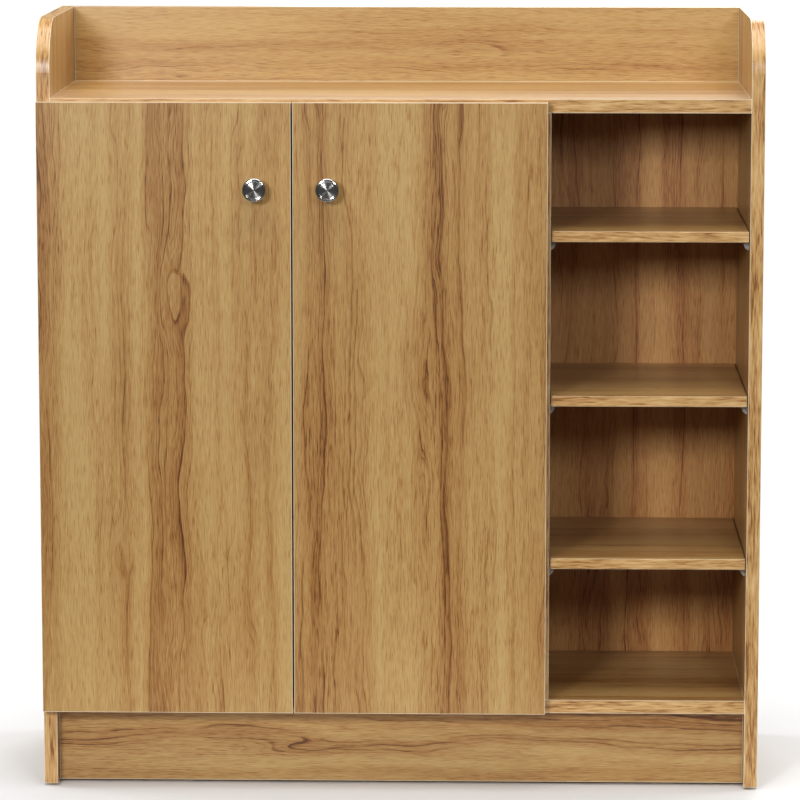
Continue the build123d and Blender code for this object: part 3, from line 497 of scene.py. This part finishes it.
def knob_profile(radius, projection):
    """Radius and distance from the door, in millimetres, from the foot's rim to the crown's.

    The neck narrows as a cube, the head flares as a power, the rim is an arc with a groove and
    a bead beside it, and the face rises to the crown as a flat dome.
    """
    share = np.linspace(0, 1, 14)
    foot = [(7.2, 0.0), (7.5, 0.3)]
    neck_radius = NECK + FOOT_FLARE * (1 - share) ** 3
    neck = np.stack([neck_radius, NECK_START + NECK_LENGTH * share], axis=1)
    head_radius = NECK + (radius - 6.0) * share**2.4
    flare = np.stack([head_radius, NECK_START + NECK_LENGTH + HEAD_LENGTH * share], axis=1)[1:]
    waist = [(radius - 0.25, 17.5)]
    rim = arc((radius - RIM, projection - 2.0), RIM, 0, 84)
    groove = arc((radius - 2.5, projection - 0.4), GROOVE, 20, -160)
    bead = arc((radius - 3.55, projection - 0.65), BEAD, 20, 130)
    inward = np.linspace(1, 0.04, 26)
    face = np.stack([(radius - 4.1) * inward, projection - CROWN_RISE * inward**2], axis=1)
    return np.concatenate([foot, neck, flare, waist, rim, groove, bead, face])


def turned_piece(name, profile, centre_x, centre_z, door_y, around=128):
    """A profile turned about a line square to the door, closed at both ends by a fan.

    x = cx + r cos t, z = cz + r sin t, y = door - s. UV is (t, length along the profile),
    each in its own unit: one turn, and UV_LENGTH.
    """
    angle = np.linspace(0, 2 * math.pi, around, endpoint=False)
    r, s = profile[:, :1] * MM, profile[:, 1:] * MM
    y = door_y - s + 0 * angle
    points = np.stack([centre_x + r * np.cos(angle), y, centre_z + r * np.sin(angle)], axis=-1)
    poles = [(centre_x, door_y, centre_z), (centre_x, y[-1, 0], centre_z)]
    vertices = points.reshape(-1, 3).tolist() + poles
    foot_pole, crown_pole = len(vertices) - 2, len(vertices) - 1
    last = len(profile) - 1
    row, column = np.meshgrid(np.arange(last), np.arange(around), indexing="ij")
    beside = (column + 1) % around
    corners = [row * around + column, row * around + beside]
    corners += [(row + 1) * around + beside, (row + 1) * around + column]
    sides = np.stack(corners, axis=-1).reshape(-1, 4).tolist()
    ring, following = column[0], beside[0]
    foot_fan = [(foot_pole, b, a) for a, b in zip(ring.tolist(), following.tolist())]
    crown = last * around
    crown_fan = [(crown + a, crown + b, crown_pole) for a, b in zip(ring.tolist(), following.tolist())]
    mesh = bpy.data.meshes.new(name)
    mesh.from_pydata(vertices, [], sides + foot_fan + crown_fan)
    run = np.concatenate([[0], np.cumsum(np.hypot(*np.diff(profile, axis=0).T))]) / UV_LENGTH
    u = np.stack([column, column + 1, column + 1, column], axis=-1) / around
    v = np.stack([run[row], run[row], run[row + 1], run[row + 1]], axis=-1)
    half, none = (ring + 0.5) / around, 0.0 * ring
    foot_uv = np.stack([half, none, (ring + 1) / around, none, ring / around, none], axis=-1)
    rim_v = none + run[-1]
    crown_uv = np.stack([ring / around, rim_v, (ring + 1) / around, rim_v, half, rim_v + 0.02], axis=-1)
    layer = mesh.uv_layers.new(name="turned")
    every_uv = [np.stack([u, v], axis=-1).ravel(), foot_uv.ravel(), crown_uv.ravel()]
    layer.data.foreach_set("uv", np.concatenate(every_uv))
    mesh.polygons.foreach_set("use_smooth", np.ones(len(mesh.polygons), dtype=bool))
    mesh.set_sharp_from_angle(angle=math.radians(50))
    piece = bpy.data.objects.new(name, mesh)
    bpy.context.collection.objects.link(piece)
    return piece


for hand in ("left", "right"):
    low, high = (np.array(corner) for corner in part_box(hand + "_knob"))
    size = (high - low) / MM
    profile = knob_profile(size[0] / 2, size[1])
    centre_x, _, centre_z = (low + high) / 2
    knob = turned_piece(hand + "_turned_knob", profile, centre_x, centre_z, high[1])
    knob.data.materials.append(turned_nickel)
    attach(knob, hand + "_door_leaf")
    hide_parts(hand + "_knob")


# Stage, light and camera ------------------------------------------------------------


def aim(thing, place, target):
    """Puts an object at a place with its -Z towards a target."""
    thing.location = place
    thing.rotation_euler = (Vector(target) - Vector(place)).to_track_quat("-Z", "Y").to_euler()


def soft_light(name, place, target, size, power):
    """A square lamp of a size in metres and a power in watts."""
    lamp = bpy.data.lights.new(name, "AREA")
    lamp.shape = "SQUARE"
    lamp.size = size
    lamp.energy = power
    holder = bpy.data.objects.new(name, lamp)
    bpy.context.collection.objects.link(holder)
    aim(holder, place, target)


FLOOR_FADE = (380, 850)  # where the floor starts to fade and where it is gone, millimetres
ROOM_LIGHT, ROOM_SEEN = 0.11, 1.05  # strength of the surround as light, and as it is seen


def pale_floor(half=4.0):
    """A plain pale floor that fades into the white surround away from the object."""
    material, tree, shader = new_material("pale_studio_floor", Roughness=0.9, Specular_IOR_Level=0.1)
    place = millimetres(tree)
    cloud = grain_noise(tree, place, (400, 400, 400), 1.0)
    tree.links.new(ramp(tree, cloud, [(0.3, "#E2E2E2"), (0.7, "#E6E6E6")]), shader.inputs["Base Color"])
    away = add(tree, "ShaderNodeVectorMath", {"operation": "LENGTH"}, {0: place})["Value"]
    near, far = FLOOR_FADE
    inputs = {"Value": away, "From Min": near, "From Max": far, "To Min": 1.0, "To Max": 0.0}
    present = add(tree, "ShaderNodeMapRange", {"interpolation_type": "SMOOTHSTEP"}, inputs)[0]
    tree.links.new(present, shader.inputs["Alpha"])
    mesh = bpy.data.meshes.new("studio_floor")
    corners = [(-half, -half, 0), (half, -half, 0), (half, half, 0), (-half, half, 0)]
    mesh.from_pydata(corners, [], [(0, 1, 2, 3)])
    mesh.materials.append(material)
    floor = bpy.data.objects.new("studio_floor", mesh)
    bpy.context.collection.objects.link(floor)


def white_room():
    """A white surround that is seen white and lights the scene softly."""
    world = bpy.data.worlds.new("white_studio")
    world.use_nodes = True
    tree = world.node_tree
    seen = add(tree, "ShaderNodeLightPath")["Is Camera Ray"]
    inputs = {"Value": seen, "To Min": ROOM_LIGHT, "To Max": ROOM_SEEN}
    strength = add(tree, "ShaderNodeMapRange", inputs=inputs)[0]
    background = tree.nodes["Background"]
    background.inputs["Color"].default_value = (1, 1, 1, 1)
    tree.links.new(strength, background.inputs["Strength"])
    bpy.context.scene.world = world


pale_floor()
white_room()
middle = (0, 0, 0.43)  # of the cabinet, metres
soft_light("key", (-0.93, -3.2, 1.41), middle, 0.5, 49)
soft_light("fill", (0.9, -3.15, 1.53), middle, 0.5, 20)
soft_light("overhead", (0, -0.5, 2.9), (0, -0.1, 0), 2.4, 78)
soft_light("rear", (0.8, 3.2, 2.3), middle, 2.6, 90)
soft_light("left_side", (-3.2, 0.9, 1.2), middle, 1.2, 45)
soft_light("right_side", (3.2, 0.9, 1.2), middle, 1.2, 45)

camera = bpy.data.objects.new("camera", bpy.data.cameras.new("camera"))
bpy.context.collection.objects.link(camera)
camera.data.lens = 188.2
camera.data.sensor_width = 36.0
front_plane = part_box("bottom_panel")[0][1]
camera_distance, camera_height, aim_height = 4.58, 1.124, 0.4405
aim(camera, (0.12, front_plane - camera_distance, camera_height), (0.0, front_plane, aim_height))
bpy.context.scene.camera = camera

scene = bpy.context.scene
scene.view_settings.view_transform = "Standard"
scene.view_settings.look = "None"
